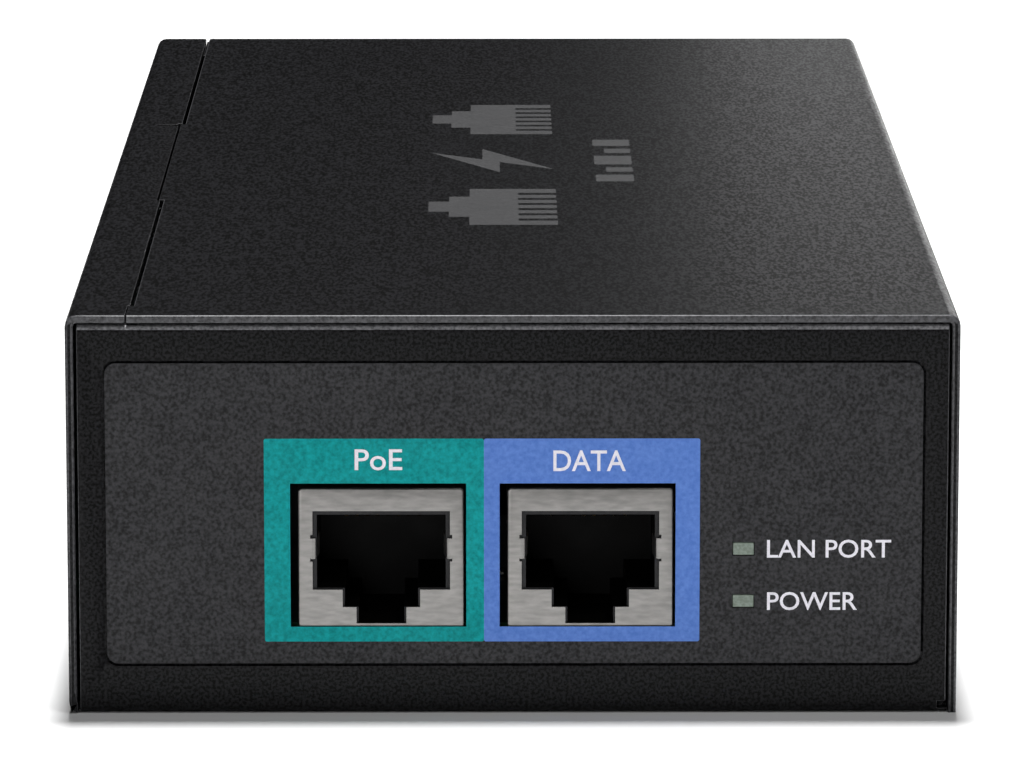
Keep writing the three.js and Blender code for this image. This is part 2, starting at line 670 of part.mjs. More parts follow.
/** The double-window ferrite core of the transformer. */
function transformerCore() {
  const { width, thick, height, leg, middle, lift } = CORE;
  const gap = (width - 2 * leg - middle) / 2;
  let core = box([-width / 2, -thick / 2, lift], [width / 2, thick / 2, lift + height]);
  for (const side of [-1, 1]) {
    const xs = [side * (middle / 2), side * (middle / 2 + gap)].sort((a, b) => a - b);
    core = core.subtract(box([xs[0], -thick, lift + leg], [xs[1], thick, lift + height - leg]));
  }
  return core;
}

/** Taped winding around the middle leg, with the bobbin's two pin rails. */
function transformerWinding() {
  const { width, thick, height, leg, middle, lift } = CORE;
  const play = 0.3;
  const half = width / 2 - leg - play;
  const reach = thick / 2 + 5;
  const [low, high] = [lift + leg + play, lift + height - leg - play];
  const coil = prism(roundRect(0, 0, 2 * half, 2 * reach, 3), "z", low, high);
  const hole = box([-middle / 2 - play, -thick / 2 - play, 0],
    [middle / 2 + play, thick / 2 + play, height + lift]);
  const rail = (y0, y1) => box([-half, y0, 0], [half, y1, low + 1]);
  return joined([coil, rail(-reach, -thick / 2 - play), rail(thick / 2 + play, reach)]).subtract(hole);
}

/** A flat surface-mount package with leads along both long sides. */
function flatPackage(width, depth, height, leads) {
  let body = box([-width / 2, -depth / 2, 0.2], [width / 2, depth / 2, height]);
  const pitch = width / (leads + 1);
  for (let i = 1; i <= leads; i++) {
    const x = -width / 2 + i * pitch;
    body = body.add(box([x - pitch / 5, -depth / 2 - 1.4, 0], [x + pitch / 5, depth / 2 + 1.4, 0.5]));
  }
  return body;
}

const TRANSISTOR = { width: 10, thick: 4.4, height: 9, leads: 3, pitch: 2.54, lift: 7, tab: 6 };
const BRIDGE = { width: 22, thick: 4, height: 15, leads: 4, pitch: 5, lift: 4 };
const QUARTER = Math.PI / 2;

/** Everything that stands on the board between the inlet and the jacks. */
function addSupply(parent) {
  const supply = addGroup(parent, "power_supply", [0, 0, BOARD_TOP + SEAT]);
  add(supply, "fuse", fuse(), "fuseGlass", [22, 72, 0]);
  add(supply, "x_capacitor", prism(roundRect(0, 0, 18, 8.5, 0.6), "z", 0, 15, 1), "boxYellow", [16, 54, 0]);
  add(supply, "line_choke", lineChoke(), "copper", [-20, 56, 0]);
  add(supply, "bridge_rectifier", leadedPackage(BRIDGE), "epoxy", [14, 42, 0]);
  add(supply, "bulk_capacitor", canCapacitor(11, 26), "sleeve", [-20, 30, 0]);
  add(supply, "primary_heat_sink", heatSink(38, 24), "aluminium", [34.5, 18, 0]);
  add(supply, "switching_transistor", leadedPackage(TRANSISTOR), "epoxy", [32.1, 18, 0], [0, 0, -QUARTER]);
  const transformer = addGroup(supply, "transformer", [4, 4, 0]);
  add(transformer, "transformer_core", transformerCore(), "ferrite");
  add(transformer, "transformer_winding", transformerWinding(), "tape");
  add(supply, "secondary_heat_sink", heatSink(34, 24), "aluminium", [-34.5, -22, 0], [0, 0, Math.PI]);
  add(supply, "output_rectifier", leadedPackage(TRANSISTOR), "epoxy", [-32.1, -22, 0], [0, 0, QUARTER]);
  add(supply, "output_capacitor_1", canCapacitor(6.3, 20), "sleeve", [-12, -20, 0]);
  add(supply, "output_capacitor_2", canCapacitor(6.3, 20), "sleeve", [-12, -36, 0]);
  add(supply, "lan_magnetics", flatPackage(34, 12, 6, 12), "epoxy", [-2.6, -64, 0]);
  add(supply, "pse_controller", flatPackage(10, 8, 1.6, 8), "epoxy", [18, -44, 0]);
}

// ---- The whole injector --------------------------------------------------------------------

function poeInjector() {
  const injector = new THREE.Group();
  injector.name = "poe_injector";
  add(injector, "chassis_pan", chassisPan(), "powderCoat");
  add(injector, "top_cover", topCover(), "powderCoat");
  add(injector, "front_label", frontLabel(), "labelFilm");
  COVER_SCREW_YS.forEach((y, i) => {
    const place = [RIGHT - FIT, y, COVER_SCREW_Z];
    add(injector, `cover_screw_${i + 1}`, flatScrew(), "blackSteel", place, [0, QUARTER, 0]);
  });
  addBoard(injector);
  for (const [name, x] of Object.entries(JACKS)) addJack(injector, name, x);
  addLamps(injector);
  addInlet(injector);
  addSupply(injector);
  return injector;
}

const group = poeInjector();

export default group;
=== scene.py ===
"""Looks of a mains-fed PoE injector: coated steel case, printed front film, two shielded jacks.

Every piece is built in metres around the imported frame. Sizes in the classes are millimetres.
"""

import logging
import math
from collections.abc import Callable, Iterable, Sequence
from dataclasses import dataclass, field
from enum import Enum

import bmesh
import bpy
from mathutils import Matrix, Vector


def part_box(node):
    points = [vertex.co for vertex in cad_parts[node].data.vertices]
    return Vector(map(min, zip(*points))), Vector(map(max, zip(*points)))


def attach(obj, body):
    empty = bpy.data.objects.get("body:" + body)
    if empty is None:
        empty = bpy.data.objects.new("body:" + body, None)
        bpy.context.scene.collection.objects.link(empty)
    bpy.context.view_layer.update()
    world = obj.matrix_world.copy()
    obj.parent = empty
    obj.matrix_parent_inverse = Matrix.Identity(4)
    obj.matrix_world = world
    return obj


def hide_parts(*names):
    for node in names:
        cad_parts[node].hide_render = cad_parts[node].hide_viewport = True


LOG = logging.getLogger("poe_injector")
MM = 0.001
CHASSIS = "chassis"
SMOOTH_DEG = 35  # edges sharper than this stay hard
SHARP_DEG = 40  # edges sharper than this are rounded
FLAT_DEG = 0.6  # facets closer than this join up into one flat face
SEAM = 2e-6  # corners closer than this are one, in metres
PRINT_ROOM = 0.008  # the coat stops this short of the full height and leaves the printing room
Point = tuple[float, float]
Corner = tuple[float, float, float]


# ---- Colours and nodes ----------------------------------------------------------------------


def linear(colour: str) -> tuple[float, float, float, float]:
    """Turns an sRGB hex value into linear RGBA.

    Args:
        colour: Six hex digits after a hash.

    Returns:
        The linear colour with full alpha.
    """
    parts = [int(colour[i : i + 2], 16) / 255 for i in (1, 3, 5)]
    red, green, blue = (p / 12.92 if p <= 0.04045 else ((p + 0.055) / 1.055) ** 2.4 for p in parts)
    return (red, green, blue, 1.0)


def per_metre(size_mm: float) -> float:
    """The pattern scale that repeats about once in that many millimetres."""
    return 1.0 / (size_mm * MM)


def add_node(
    tree: bpy.types.NodeTree, kind: str, settings: dict | None = None, inputs: dict | None = None
) -> bpy.types.Node:
    """Adds one shader node.

    Args:
        tree: The material's node tree.
        kind: The node's type name.
        settings: Attributes to set on the node.
        inputs: Socket name or number to a value, or to an output socket to link from.

    Returns:
        The new node.
    """
    made = tree.nodes.new(kind)
    for key, value in (settings or {}).items():
        setattr(made, key, value)
    for key, value in (inputs or {}).items():
        if isinstance(value, bpy.types.NodeSocket):
            tree.links.new(value, made.inputs[key])
        else:
            made.inputs[key].default_value = value
    return made


@dataclass(frozen=True)
class Finish:
    """A surface with a fine grain in its colour and its relief.

    Attributes:
        name: What the surface is.
        dark: The grain's darkest colour.
        light: Its lightest colour.
        grain_mm: How large its lumps are.
        roughness: The mean roughness.
        gloss_swing: How far a slow swell moves the roughness.
        relief_mm: How high the grain stands.
        swell_mm: How large the patches of the swell are.
        contrast: The grain's half-width in the colour ramp; a small one is harsh.
        stretch: The grain's scale along each axis.
        sparkle: How far the grain moves the roughness; it takes the swell's place.
    """

    name: str
    dark: str
    light: str
    grain_mm: float
    roughness: float
    gloss_swing: float = 0.06
    metallic: float = 0.0
    ior: float = 1.5
    relief_mm: float = 0.01
    swell_mm: float = 4.0
    contrast: float = 0.2
    stretch: Corner = (1.0, 1.0, 1.0)
    coat: float = 0.0
    specular: float = 0.5
    sparkle: float = 0.0

    def material(self) -> bpy.types.Material:
        """Builds the material, or returns it if it has been built."""
        title = f"{self.name}_finish"
        known = bpy.data.materials.get(title)
        if known:
            return known
        made = bpy.data.materials.new(title)
        made.use_nodes = True
        tree = made.node_tree
        shader = tree.nodes["Principled BSDF"]
        shader.inputs["Metallic"].default_value = self.metallic
        shader.inputs["IOR"].default_value = self.ior
        shader.inputs["Coat Weight"].default_value = self.coat
        shader.inputs["Specular IOR Level"].default_value = self.specular
        place = add_node(tree, "ShaderNodeTexCoord").outputs["Object"]
        turned = add_node(tree, "ShaderNodeMapping", inputs={"Vector": place, "Scale": self.stretch})
        self.dress(tree, shader, turned.outputs["Vector"])
        made.diffuse_color = linear(self.light)
        return made

    def dress(self, tree: bpy.types.NodeTree, shader: bpy.types.Node, place: bpy.types.NodeSocket) -> None:
        """Wires grain, gloss and relief into the shader.

        Args:
            tree: The material's node tree.
            shader: Its principled shader.
            place: The coordinates to read.
        """
        grain = self.noise(tree, place, self.grain_mm, 3.0)
        tree.links.new(self.tone(tree, grain, place), shader.inputs["Base Color"])
        if self.sparkle:
            source, reach, swing = grain, self.contrast, -self.sparkle
        else:
            source, reach, swing = self.noise(tree, place, self.swell_mm, 2.0), 0.2, self.gloss_swing
        gloss = add_node(
            tree,
            "ShaderNodeMapRange",
            inputs={
                "Value": source,
                "From Min": 0.5 - reach,
                "From Max": 0.5 + reach,
                "To Min": self.roughness - swing,
                "To Max": self.roughness + swing,
            },
        )
        tree.links.new(gloss.outputs["Result"], shader.inputs["Roughness"])
        bump = add_node(
            tree,
            "ShaderNodeBump",
            inputs={"Height": grain, "Distance": self.relief_mm * MM, "Strength": 1.0},
        )
        tree.links.new(bump.outputs["Normal"], shader.inputs["Normal"])

    def tone(
        self, tree: bpy.types.NodeTree, grain: bpy.types.NodeSocket, place: bpy.types.NodeSocket
    ) -> bpy.types.NodeSocket:
        """The colour ramp from the grain."""
        ramp = add_node(tree, "ShaderNodeValToRGB", inputs={"Fac": grain})
        low, high = ramp.color_ramp.elements
        low.position = 0.5 - self.contrast
        high.position = 0.5 + self.contrast
        low.color = linear(self.dark)
        high.color = linear(self.light)
        return ramp.outputs["Color"]

    def noise(
        self, tree: bpy.types.NodeTree, place: bpy.types.NodeSocket, size_mm: float, detail: float
    ) -> bpy.types.NodeSocket:
        """A noise field whose lumps are about that many millimetres across."""
        made = add_node(
            tree,
            "ShaderNodeTexNoise",
            inputs={"Vector": place, "Scale": per_metre(size_mm), "Detail": detail},
        )
        return made.outputs["Fac"]


@dataclass(frozen=True)
class ClearFinish(Finish):
    """Glass or a diffusing lens: the grain only clouds it."""

    through: float = 0.5

    def dress(self, tree: bpy.types.NodeTree, shader: bpy.types.Node, place: bpy.types.NodeSocket) -> None:
        """Adds transmission to the grained surface."""
        super().dress(tree, shader, place)
        shader.inputs["Transmission Weight"].default_value = self.through


@dataclass(frozen=True)
class BandedFinish(Finish):
    """A surface wrapped in even turns, whose seams show as bands across one axis.

    Attributes:
        pitch_mm: From one turn to the next.
        axis: The axis that the turns follow.
        band: The seam's colour.
        share: How much of each turn the seam takes, and fade how much more it takes to fade out.
    """

    pitch_mm: float = 1.0
    axis: str = "Z"
    band: str = "#000000"
    share: float = 0.5
    fade: float = 0.15

    def tone(
        self, tree: bpy.types.NodeTree, grain: bpy.types.NodeSocket, place: bpy.types.NodeSocket
    ) -> bpy.types.NodeSocket:
        """Mixes the grain's colour with the band's colour."""
        base = super().tone(tree, grain, place)
        wave = add_node(
            tree,
            "ShaderNodeTexWave",
            {"wave_type": "BANDS", "bands_direction": self.axis},
            {"Vector": place, "Scale": per_metre(self.pitch_mm) * math.pi / 10},
        )
        edge = add_node(
            tree,
            "ShaderNodeMapRange",
            inputs={"Value": wave.outputs["Fac"], "From Min": self.share, "From Max": self.share + self.fade},
        )
        mix = add_node(
            tree,
            "ShaderNodeMix",
            {"data_type": "RGBA"},
            {"Factor": edge.outputs["Result"], "A": linear(self.band), "B": base},
        )
        return mix.outputs["Result"]


# Powder coat, sprayed and baked: near black, with a fine grit that breaks up the highlight.
POWDER_COAT = Finish(
    "powder_coated_steel", "#000000", "#1e1e20", 0.3, 0.46,
    contrast=0.1, stretch=(1, 0.3, 1), specular=0.11, sparkle=0.05,
)
# The same coat on the rounded edges and on the sheared edge of the top: it thins there, and its paler colour
# is a painted highlight for the light those edges catch.
EDGE_COAT_HIGHLIGHT = Finish("thin_coat_and_highlight_edge", "#1e1e20", "#525255", 0.3, 0.42, 0.02, specular=0.4)
# The fold at the top of an end panel, painted much paler and glossier: a painted highlight where the fold
# catches the light.
FOLD_HIGHLIGHT_COAT = Finish("fold_highlight_coat", "#48484b", "#98989b", 0.3, 0.36, 0.02, specular=0.6)
# Polyester film, reverse printed with a grained face: a fine dark mottle.
GRAIN_FILM = Finish(
    "grained_polyester_film", "#0b0b0c", "#37373a", 0.34, 0.62, relief_mm=0.012, contrast=0.17, specular=0.25
)
# The same film over spot colours: the mottle shows only faintly.
GREEN_PRINT = Finish("green_spot_print", "#007c7c", "#0c9c9e", 0.4, 0.6, relief_mm=0.008, specular=0.12)
BLUE_PRINT = Finish("blue_spot_print", "#4f74c0", "#6085ce", 0.4, 0.6, relief_mm=0.008, specular=0.12)
WHITE_INK = Finish("white_screen_ink", "#dddbe4", "#eeecf4", 0.3, 0.55, relief_mm=0.004)
# Screen ink on the coated top: it fills the grit, so it is smoother and a little lighter.
GREY_INK = Finish("grey_screen_ink", "#363637", "#444445", 0.3, 0.6, relief_mm=0.01, specular=0.17)
# Satin nickel over formed brass: soft long reflections with a faint rolled grain.
NICKEL = Finish(
    "satin_nickel_plate", "#787775", "#8c8a88", 0.4, 0.34, 0.04, 1.0, relief_mm=0.0012, stretch=(0.25, 1, 1)
)
# Gold flash over nickel: warm and bright.
GOLD = Finish("gold_flash", "#c99a3c", "#e2b85a", 0.3, 0.28, 0.04, 1.0, relief_mm=0.001)
# Glass-filled nylon or PBT: black with a dull moulded skin.
BLACK_MOULDING = Finish(
    "moulded_black_pbt", "#020202", "#050505", 0.5, 0.5, 0.05, relief_mm=0.004, specular=0.08
)
# The same moulding on its faces that turn to the front, painted a lighter and duller grey: painted light
# where the front light falls on them.
LIT_FACE_MOULDING = Finish(
    "lit_face_black_pbt", "#18181a", "#242426", 0.4, 0.6, 0.05, relief_mm=0.006, specular=0.3
)
# Diffusing epoxy: milky grey-green when unlit.
LAMP_EPOXY = ClearFinish(
    "diffusing_lamp_epoxy", "#687568", "#87958a", 0.25, 0.4, relief_mm=0.004, through=0.15
)
BRIGHT_ZINC = Finish("bright_zinc_plate", "#a9abad", "#c4c6c8", 0.6, 0.3, 0.05, 1.0, relief_mm=0.001)
BLACK_ZINC = Finish("black_zinc_plate", "#1c1c1e", "#303033", 0.4, 0.38, 0.05, 0.9, relief_mm=0.002)
FILM_SHEET = ClearFinish(
    "polyester_insulating_film", "#b9ae83", "#d2c9a4", 1.5, 0.35, relief_mm=0.004, through=0.2
)
ALUMINIUM = Finish(
    "extruded_aluminium", "#9fa1a4", "#bcbec1", 0.5, 0.38, 0.06, 1.0, relief_mm=0.002, stretch=(1, 1, 0.08)
)
FERRITE = Finish("sintered_ferrite", "#2a2a2c", "#3d3d40", 0.4, 0.72, relief_mm=0.01)
TAPE = BandedFinish(
    "polyester_winding_tape", "#c79c1d", "#dcb63a", 0.8, 0.38,
    relief_mm=0.006, pitch_mm=5, band="#a98312", share=0.04,
)
COPPER = Finish(
    "enamelled_copper_wire", "#8f4417", "#b86a30", 0.5, 0.3, 0.05, 0.85, relief_mm=0.004, coat=0.4
)
YELLOW_CASE = Finish("moulded_polyester_case", "#d2aa1d", "#e0bd35", 0.6, 0.36, relief_mm=0.005)
SLEEVE = Finish("shrunk_pvc_sleeve", "#12151f", "#1c2130", 1.2, 0.32, relief_mm=0.006, coat=0.3)
CAN_TOP = Finish("pressed_can_aluminium", "#a6a8aa", "#c2c4c6", 0.4, 0.34, 0.05, 1.0, relief_mm=0.002)
EPOXY = Finish("moulded_black_epoxy", "#101011", "#1c1c1d", 0.25, 0.58, relief_mm=0.006)
TINNED = Finish("tinned_lead", "#9a9a98", "#bdbdba", 0.4, 0.34, 0.05, 1.0, relief_mm=0.002)
FUSE_GLASS = ClearFinish("fuse_glass", "#c9d4d0", "#dbe4e0", 2.0, 0.08, 0.02, relief_mm=0.0005, through=0.9)
RESIST = Finish("green_solder_resist", "#0f4a28", "#1a6137", 1.6, 0.34, 0.05, relief_mm=0.006, coat=0.3)


# ---- Mesh work ------------------------------------------------------------------------------


class Plane(Enum):
    """An outline's plane: the numbers of its two axes, then of the axis that it is drawn out along."""

    XZ = (0, 2, 1)
    XY = (0, 1, 2)


def corner(plane: Plane, point: Point, depth: float) -> Vector:
    """A point of an outline in metres.

    Args:
        plane: The outline's plane.
        point: Its two coordinates in millimetres.
        depth: Its place along the third axis in millimetres.

    Returns:
        The point in the frame.
    """
    first, second, third = plane.value
    made = Vector((0, 0, 0))
    made[first], made[second] = point
    made[third] = depth
    return made * MM


def prism(points: Sequence[Point], plane: Plane, start: float, end: float) -> bmesh.types.BMesh:
    """Draws an outline out into a closed solid.

    Args:
        points: The outline, in millimetres.
        plane: The plane that it lies in.
        start: Where it starts along the third axis.
        end: Where it ends.

    Returns:
        The solid.
    """
    bm = bmesh.new()
    ring = [bm.verts.new(corner(plane, point, start)) for point in points]
    face = bm.faces.new(ring)
    moved = bmesh.ops.extrude_face_region(bm, geom=[face])["geom"]
    shift = corner(plane, (0, 0), end) - corner(plane, (0, 0), start)
    bmesh.ops.translate(bm, verts=[v for v in moved if isinstance(v, bmesh.types.BMVert)], vec=shift)
    bmesh.ops.recalc_face_normals(bm, faces=bm.faces)
    return bm


def block(low: Corner, high: Corner) -> bmesh.types.BMesh:
    """A box between two corners in millimetres."""
    bm = bmesh.new()
    size = [h - l for l, h in zip(low, high)]
    middle = Vector([(h + l) / 2 for l, h in zip(low, high)]) * MM
    matrix = Matrix.Translation(middle) @ Matrix.Diagonal((*[s * MM for s in size], 1))
    bmesh.ops.create_cube(bm, size=1, matrix=matrix)
    return bm


def rounded(x: float, y: float, width: float, height: float, radius: float, steps: int = 6) -> list[Point]:
    """The outline of a rectangle with round corners about a middle point."""
    points = []
    for index, (sx, sy) in enumerate(((1, -1), (1, 1), (-1, 1), (-1, -1))):
        for k in range(steps + 1):
            angle = (index - 1 + k / steps) * math.pi / 2
            cx = x + sx * (width / 2 - radius)
            cy = y + sy * (height / 2 - radius)
            points.append((cx + radius * math.cos(angle), cy + radius * math.sin(angle)))
    return points


def spun(profile: Sequence[Point], foot: Corner, axis: Corner, steps: int) -> bmesh.types.BMesh:
    """Spins [radius, height] points into a closed turned solid.

    Args:
        profile: Points from the axis at one end to the axis at the other, in millimetres.
        foot: Where height zero lies on the axis, in millimetres.
        axis: The direction that height grows in.
        steps: Facets around.

    Returns:
        The solid.
    """
    bm = bmesh.new()
    ring = [bm.verts.new(Vector((radius, 0, height)) * MM) for radius, height in profile]
    edges = [bm.edges.new(pair) for pair in zip(ring, ring[1:])]
    bmesh.ops.spin(
        bm, geom=ring + edges, cent=(0, 0, 0), axis=(0, 0, 1), angle=math.tau, steps=steps, use_merge=True
    )
    bmesh.ops.remove_doubles(bm, verts=bm.verts, dist=1e-7)
    bmesh.ops.recalc_face_normals(bm, faces=bm.faces)
    turn = Vector((0, 0, 1)).rotation_difference(Vector(axis)).to_matrix().to_4x4()
    bmesh.ops.transform(bm, matrix=Matrix.Translation(Vector(foot) * MM) @ turn, verts=bm.verts)
    return bm


def merged(parts: Iterable[bmesh.types.BMesh]) -> bmesh.types.BMesh:
    """Gathers several bodies in one mesh without joining their surfaces."""
    whole = bmesh.new()
    for part in parts:
        scratch = bpy.data.meshes.new("scratch")
        part.to_mesh(scratch)
        part.free()
        whole.from_mesh(scratch)
        bpy.data.meshes.remove(scratch)
    return whole


def loose_copy(node: str) -> bmesh.types.BMesh:
    """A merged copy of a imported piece, its flat faces joined up into whole ones."""
    bm = bmesh.new()
    bm.from_mesh(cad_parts[node].data)
    bmesh.ops.remove_doubles(bm, verts=bm.verts, dist=SEAM)
    bmesh.ops.dissolve_limit(bm, angle_limit=math.radians(FLAT_DEG), verts=bm.verts, edges=bm.edges)
    return bm


def piece_from(bm: bmesh.types.BMesh, name: str, finishes: Sequence[Finish]) -> bpy.types.Object:
    """Makes a scene object from a mesh under work, and frees it.

    Args:
        bm: The mesh.
        name: The piece's name.
        finishes: Its finishes, in the order of the faces' material numbers.

    Returns:
        The object, at the origin.
    """
    mesh = bpy.data.meshes.new(name)
    bm.to_mesh(mesh)
    bm.free()
    for finish in finishes:
        mesh.materials.append(finish.material())
    mesh.shade_smooth()
    mesh.set_sharp_from_angle(angle=math.radians(SMOOTH_DEG))
    made = bpy.data.objects.new(name, mesh)
    bpy.context.scene.collection.objects.link(made)
    return made


def soften(piece: bpy.types.Object, width: float, segments: int = 2) -> bpy.types.Modifier:
    """Rounds a piece's sharp edges with a bevel that keeps its flat faces flat.

    Args:
        piece: The piece.
        width: Bevel width in millimetres.
        segments: Facets across the bevel.

    Returns:
        The bevel.
    """
    bevel = piece.modifiers.new("soft_edges", "BEVEL")
    bevel.width = width * MM
    bevel.segments = segments
    bevel.limit_method = "ANGLE"
    bevel.angle_limit = math.radians(SHARP_DEG)
    bevel.harden_normals = True
    return bevel


def weigh_edges(bm: bmesh.types.BMesh, share: Callable[[Sequence[Vector]], float]) -> None:
    """Gives each sharp edge its share of the rounding.

    Args:
        bm: The mesh.
        share: Takes an edge's two ends in millimetres and returns its share, 0 to 1.
    """
    layer = bm.edges.layers.float.new("bevel_weight_edge")
    for edge in bm.edges:
        if edge.calc_face_angle(0) > math.radians(SHARP_DEG):
            edge[layer] = share([vert.co / MM for vert in edge.verts])


def apply_modifiers(piece: bpy.types.Object) -> None:
    """Replaces a piece's mesh with what its modifiers make of it."""
    graph = bpy.context.evaluated_depsgraph_get()
    graph.update()
    mesh = bpy.data.meshes.new_from_object(piece.evaluated_get(graph))
    piece.modifiers.clear()
    piece.data = mesh


def cut(piece: bpy.types.Object, cutter: bmesh.types.BMesh) -> None:
    """Cuts a closed body out of a piece.

    Args:
        piece: The piece to cut.
        cutter: The body to take away; it is freed.
    """
    tool = piece_from(cutter, "cutter", [])
    boolean = piece.modifiers.new("cut", "BOOLEAN")
    boolean.object = tool
    boolean.operation = "DIFFERENCE"
    boolean.solver = "EXACT"
    apply_modifiers(piece)
    bpy.data.objects.remove(tool)
    piece.data.set_sharp_from_angle(angle=math.radians(SMOOTH_DEG))


def place(piece: bpy.types.Object, slot: str, nodes: Sequence[str] = (), body: str = CHASSIS) -> None:
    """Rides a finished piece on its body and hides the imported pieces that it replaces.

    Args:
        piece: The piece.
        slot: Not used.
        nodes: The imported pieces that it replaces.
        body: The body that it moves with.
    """
    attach(piece, body)
    if nodes:
        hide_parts(*nodes)
    LOG.info("%s: %d faces on %s", piece.name, len(piece.data.polygons), body)


def bounds_mm(node: str) -> tuple[Vector, Vector]:
    """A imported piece's lowest and highest corners in millimetres."""
    low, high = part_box(node)
    return Vector(low) / MM, Vector(high) / MM


# ---- Case -----------------------------------------------------------------------------------


@dataclass
class Case:
    """The folded pan, the cover and the screws that hold them together."""

    edge: float = 0.26
    half_depth: float = 95.0
    end_reach: float = 1.0  # how deep the sheared ends are
    top: float = 39.2
    rim: float = 0.85  # how thick the top's sheared edge looks
    fold_low: float = 36.0
    fold_tilt: Point = (0.2, 0.93)  # how far up a fold's face looks, least and most; faces between take the painted highlight
    foot: float = 1.3
    joint: float = 1.7  # how deep the joint between pan and cover is
    joint_span: Point = (-40.5, -36.0)
    cover_side: float = -36.7
    tab_length: float = 3.0
    recess_half: float = 40.5
    recess_top: float = 37.0
    panel_half: float = 42.05
    panel_top: float = 38.2
    cross_reach: float = 1.45
    cross_half: float = 0.32
    cross_deep: float = 1.0
    cross_taper: float = 0.55

    def build(self) -> None:
        """Builds both sheets and their screws."""
        for node in ("chassis_pan", "top_cover"):
            folded = loose_copy(node)
            for vert in folded.verts:
                vert.co.z = min(vert.co.z, (self.top - PRINT_ROOM) * MM)
            self.split_ends(folded)
            weigh_edges(folded, self.rounding_share)
            for face in folded.faces:
                face.material_index = self.coat_of(face)
            sheet = piece_from(folded, f"{node}_coated", [POWDER_COAT, EDGE_COAT_HIGHLIGHT, FOLD_HIGHLIGHT_COAT])
            bevel = soften(sheet, self.edge, 3)
            # every rounded edge takes the paler coat: a painted highlight
            bevel.material = 1
            bevel.limit_method = "WEIGHT"
            bevel.use_clamp_overlap = False
            place(sheet, "powder_coated_steel", [node])
        for index in (1, 2, 3):
            self.flat_screw(f"cover_screw_{index}", (1, 0, 0))
        for index in (1, 2):
            self.flat_screw(f"inlet_screw_{index}", (0, 1, 0))

    def split_ends(self, folded: bmesh.types.BMesh) -> None:
        """Parts the end faces under the top, so the sheared edge of the top can take its own paler finish, a
        painted highlight.
        """
        ends = [face for face in folded.faces if self.is_end(face)]
        edges = {edge for face in ends for edge in face.edges}
        verts = {vert for face in ends for vert in face.verts}
        level = Vector((0, 0, self.top - self.rim)) * MM
        bmesh.ops.bisect_plane(folded, geom=[*ends, *edges, *verts], plane_co=level, plane_no=(0, 0, 1))

    def is_end(self, face: bmesh.types.BMFace) -> bool:
        """Whether a face is a sheared end of a sheet."""
        reach = abs(face.calc_center_median().y) / MM
        return abs(face.normal.y) > 0.9 and reach > self.half_depth - self.end_reach

    def coat_of(self, face: bmesh.types.BMFace) -> int:
        """The number of a face's finish: plain coat, the sheared edge of the top with its painted highlight,
        or the fold of an end panel with its painted highlight.
        """
        middle = face.calc_center_median() / MM
        if self.is_end(face) and middle.z > self.top - self.rim:
            return 1
        near_end = abs(middle.y) > self.half_depth - self.end_reach
        least, most = self.fold_tilt
        # fold faces near the ends that turn partly up take the painted highlight
        return 2 if near_end and middle.z > self.fold_low and least < face.normal.z < most else 0

    def rounding_share(self, ends: Sequence[Vector]) -> float:
        """The share of the full rounding that one edge of a sheet takes.

        Args:
            ends: The edge's ends in millimetres.

        Returns:
            All of it on the outer ends of the walls and the top, less on small features.
        """
        left, right = self.joint_span
        if all(point.z > self.top - self.joint and left < point.x < right for point in ends):
            on_cover = all(point.x > self.cover_side for point in ends)
            return 0.4 if on_cover and (ends[0] - ends[1]).length > self.tab_length else 0.1
        if all(point.z < self.foot for point in ends):
            return 0.2
        if all(abs(point.x) < self.recess_half and self.foot < point.z < self.recess_top for point in ends):
            return 0.0
        at_end = all(abs(point.y) > self.half_depth - 0.02 for point in ends)
        in_panel = all(abs(point.x) < self.panel_half and point.z < self.panel_top for point in ends)
        return 1.0 if at_end and not in_panel else 0.35

    def flat_screw(self, node: str, axis: Corner) -> None:
        """Builds one countersunk screw with a cross recess.

        Args:
            node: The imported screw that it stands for.
            axis: The direction that its head faces.
        """
        low, high = bounds_mm(node)
        along = Vector(axis)
        middle = (low + high) / 2
        length = abs((high - low).dot(along))
        foot = middle - along * length / 2
        radius = max((high - low) - along * length) / 2
        shank = radius / 2
        rise, depth = 0.25, 0.12
        turns = int((length - 1.6) / rise)
        thread = [(shank - (depth if k % 2 else 0), 0.5 + k * rise) for k in range(turns)]
        profile = [
            (0, 0),
            (shank - 0.3, 0),
            *thread,
            (shank - 0.1, length - 0.95),
            (radius - 0.06, length - 0.1),
            (radius - 0.02, length - 0.03),
            (radius - 0.12, length),
            (0, length),
        ]
        screw = piece_from(spun(profile, tuple(foot), axis, 32), f"{node}_turned", [BLACK_ZINC])
        cut(screw, self.cross(foot + along * length, along))
        place(screw, "black_screw", [node])

    def cross(self, face: Vector, along: Vector) -> bmesh.types.BMesh:
        """The tapering cross of a screwdriver recess.

        Args:
            face: The middle of the head's face in millimetres.
            along: The direction that the head faces.

        Returns:
            The body to cut away.
        """
        arm, half = self.cross_reach, self.cross_half
        outline = [
            (arm, -half), (arm, half), (half, half), (half, arm), (-half, arm), (-half, half),
            (-arm, half), (-arm, -half), (-half, -half), (-half, -arm), (half, -arm), (half, -half),
        ]
        bm = prism(outline, Plane.XY, -self.cross_deep, 0.4)
        for vert in bm.verts:
            if vert.co.z < 0:
                vert.co.x *= self.cross_taper
                vert.co.y *= self.cross_taper
        turn = Vector((0, 0, 1)).rotation_difference(along).to_matrix().to_4x4()
        bmesh.ops.transform(bm, matrix=Matrix.Translation(face * MM) @ turn, verts=bm.verts)
        return bm


# ---- Front film -----------------------------------------------------------------------------


@dataclass
class Legend:
    """One printed word: its letters fill a box on the film."""

    name: str
    words: str
    left: float
    right: float
    low: float
    high: float


